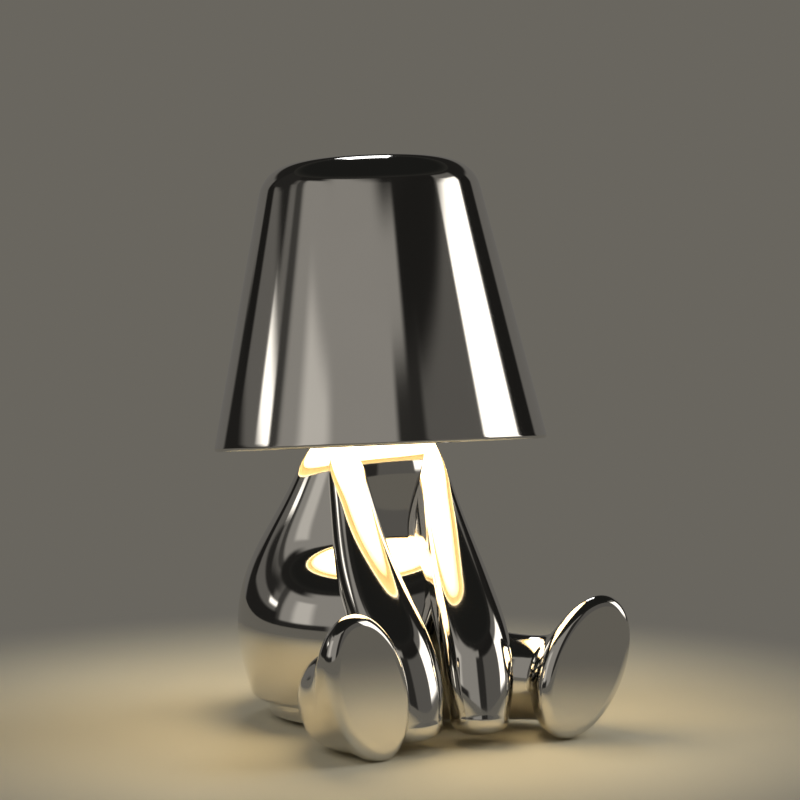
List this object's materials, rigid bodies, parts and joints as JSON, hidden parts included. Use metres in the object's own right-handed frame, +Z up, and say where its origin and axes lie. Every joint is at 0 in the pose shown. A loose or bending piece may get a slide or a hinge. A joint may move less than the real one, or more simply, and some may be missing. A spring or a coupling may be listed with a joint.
{
  "type": "cordless table lamp",
  "caption": "Chromed faceless seated figure with a tapered lamp shade for a head; a rechargeable cordless table lamp whose shade turns and tilts on the neck.",
  "frame": {"origin": "on the table, at the centre of the rubber base pad under the torso", "axes": "+Z up; the figure faces -Y, its soles towards the front; +X is the figure's left side"},
  "size_m": [0.1117, 0.1097, 0.1775],
  "materials": {
    "chrome_plate": "mirror",
    "opal": "opal satin, lit warm white",
    "white_plastic": "satin",
    "black_plastic": "fine texture",
    "rubber": "matte",
    "steel": "zinc plated",
    "brass": "turned",
    "aluminium": "satin",
    "board_green": "solder resist",
    "board_white": "white solder resist",
    "led_phosphor": "cast resin",
    "cell_wrap": "shrink wrap",
    "lead_wire": "extruded insulation"
  },
  "bodies": {
    "figure": {"torso_casting": "chrome_plate", "right_arm": "chrome_plate", "left_arm": "chrome_plate", "right_leg": "chrome_plate", "left_leg": "chrome_plate", "limb_screws": "steel", "limb_dowels": "steel", "base_cover": "black_plastic", "base_pad": "rubber", "base_screws": "steel", "battery_cell": "cell_wrap", "battery_cradle": "black_plastic", "cradle_screws": "steel", "battery_cap": "black_plastic", "charge_board": "board_green", "board_screws": "steel", "usb_socket": "steel", "tact_switch": "black_plastic", "button_bezel": "chrome_plate", "neck_tube": "steel", "neck_nut": "brass", "neck_collar": "chrome_plate", "retaining_clip": "steel", "battery_leads": "lead_wire", "lamp_leads": "lead_wire"},
    "button": {"power_button": "chrome_plate"},
    "swivel": {"swivel_base": "chrome_plate", "swivel_pin": "steel", "pin_nut": "steel", "friction_washers": "white_plastic"},
    "head": {"shade_shell": "chrome_plate", "swivel_head": "chrome_plate", "carrier_nut": "brass", "lamp_carrier": "aluminium", "shade_screws": "steel", "led_board": "board_white", "led_chips": "led_phosphor", "diffuser": "opal", "reflector_liner": "white_plastic", "diffuser_ring": "white_plastic"}
  },
  "joints": [
    {"name": "shade_turn", "type": "hinge", "parent": "figure", "child": "swivel", "pos_m": [0, -0.0105, 0.0958], "axis": [0, 0, 1], "range_deg": [-165, 165]},
    {"name": "shade_tilt", "type": "hinge", "parent": "swivel", "child": "head", "pos_m": [0, -0.0105, 0.105], "axis": [1, 0, 0], "range_deg": [-4.6, 15.4]},
    {"name": "button_press", "type": "slide", "parent": "figure", "child": "button", "axis": [0, -1, 0], "range_m": [0, 0.0012], "stiffness_N_per_m": 1200}
  ]
}
